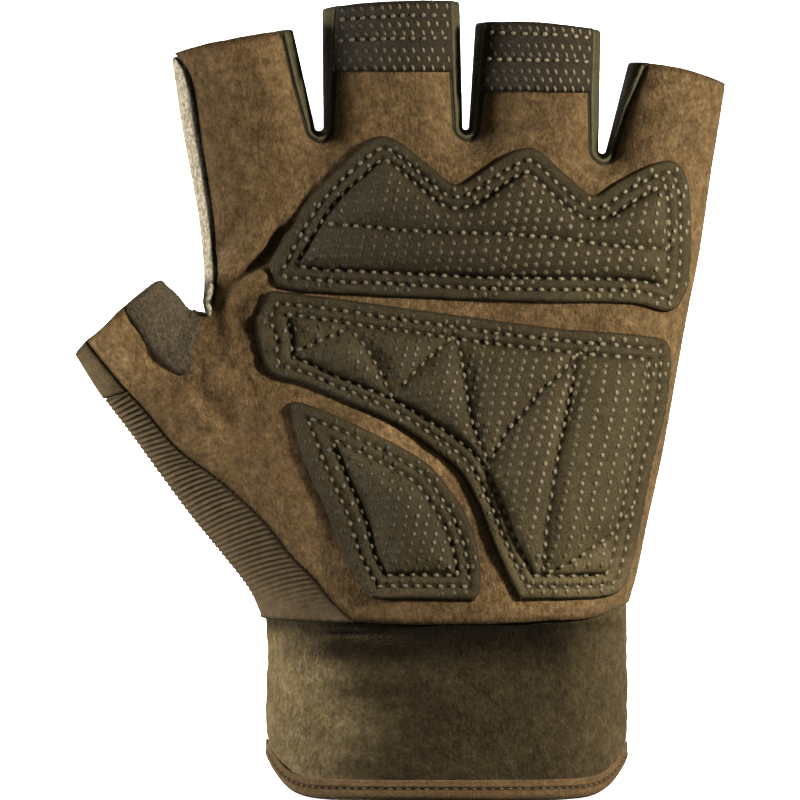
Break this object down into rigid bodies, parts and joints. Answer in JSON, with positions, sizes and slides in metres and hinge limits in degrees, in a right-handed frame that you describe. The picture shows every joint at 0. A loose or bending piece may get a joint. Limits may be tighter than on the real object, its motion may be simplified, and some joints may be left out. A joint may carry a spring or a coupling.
{
  "type": "fingerless grip glove",
  "caption": "Left-hand fingerless grip glove with stitched palm pads, ribbed thumb panel and wide cuff; open at wrist, thumb and fingertips.",
  "frame": {"origin": "middle of the wrist opening, level with the cuff's lowest edge", "axes": "+Z towards the fingertips, -Y out of the palm, -X towards the thumb"},
  "size_m": [0.1354, 0.0483, 0.1662],
  "materials": {
    "suede_palm": "brushed suede, mottled brown",
    "suede_back": "plain brown suede-like cloth",
    "olive_cloth": "matt olive stretch cloth",
    "pale_cloth": "pale speckled knit",
    "rib_knit": "ribbed knit",
    "thumb_band_cloth": "plain brown cloth",
    "dark_grip_cloth": "dark pebbled grip cloth",
    "grip_pad": "dark rubberised cloth with raised dots and stitching",
    "perforated_band": "dark rubberised cloth with small dots",
    "cuff_cloth": "brushed olive brown loop cloth",
    "binding_tape": "tan woven tape"
  },
  "bodies": {
    "root": {"palm_panel": "suede_palm", "back_panel": "suede_back", "fourchette_index_middle": "olive_cloth", "fourchette_middle_ring": "olive_cloth", "fourchette_ring_little": "olive_cloth", "index_side_strip": "pale_cloth", "rib_knit_panel": "rib_knit", "thumb_end_band": "thumb_band_cloth", "thumb_crotch_patch": "dark_grip_cloth", "knuckle_pad": "grip_pad", "palm_pad": "grip_pad", "heel_pad": "grip_pad", "tip_band_middle": "perforated_band", "tip_band_ring": "perforated_band", "cuff": "cuff_cloth", "cuff_binding": "binding_tape"}
  },
  "joints": []
}
